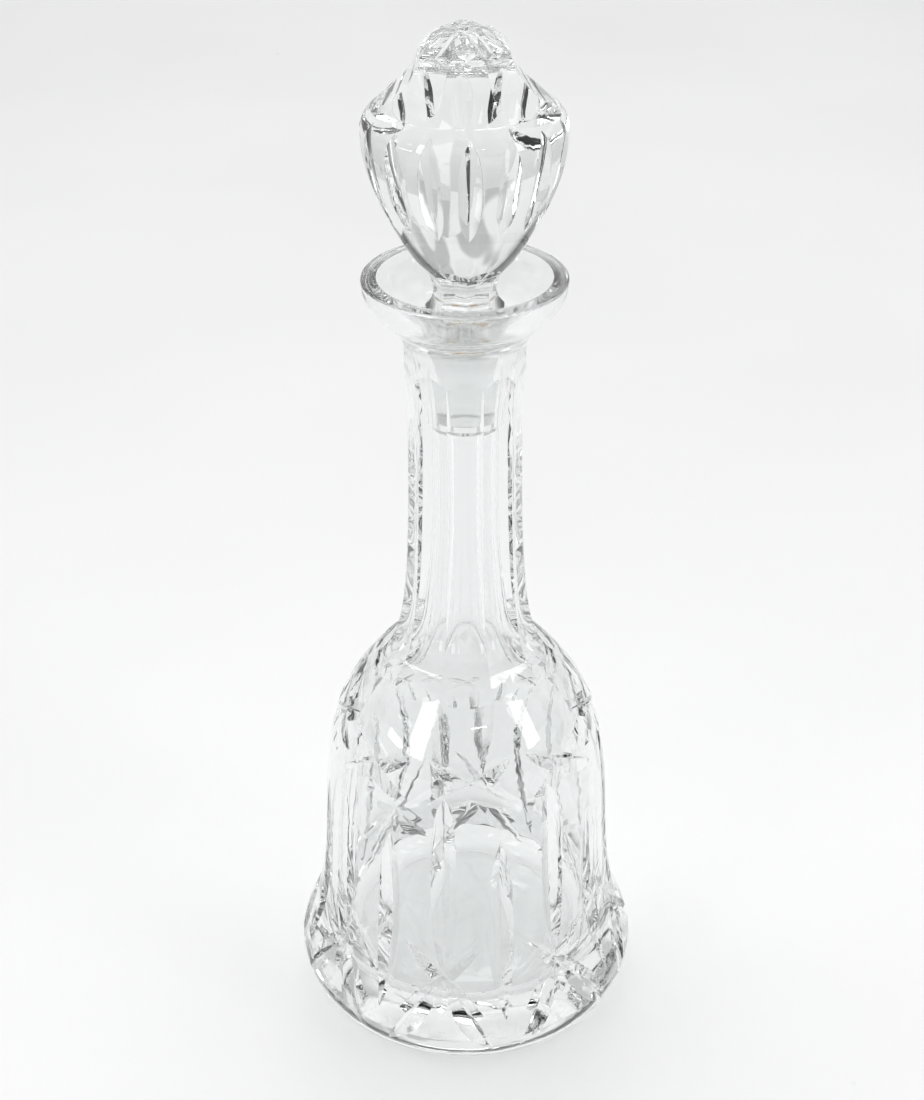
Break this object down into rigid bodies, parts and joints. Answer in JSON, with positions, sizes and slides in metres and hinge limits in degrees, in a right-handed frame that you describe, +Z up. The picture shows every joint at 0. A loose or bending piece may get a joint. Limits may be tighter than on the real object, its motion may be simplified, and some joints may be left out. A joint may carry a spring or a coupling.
{
  "type": "decanter",
  "caption": "Tall cut crystal decanter: fluted neck with a saucer lip, bell body with blades, crosses and stars, and a faceted ground-in stopper.",
  "frame": {"origin": "centre of the base, on the surface that the decanter stands on", "axes": "+Z up the axis of the decanter; the front, where a neck ridge stands in the middle, faces -Y; +X to the right"},
  "size_m": [0.1144, 0.1144, 0.33],
  "materials": {
    "body_crystal": "polished clear lead crystal, with the socket in the neck ground matt",
    "stopper_crystal": "polished clear lead crystal, with the peg ground matt"
  },
  "bodies": {
    "decanter": {"decanter_body": "body_crystal"},
    "stopper": {"stopper": "stopper_crystal"}
  },
  "joints": [
    {"name": "stopper_lift", "type": "slide", "parent": "decanter", "child": "stopper", "axis": [0, 0, 1], "range_m": [0, 0.055]}
  ]
}
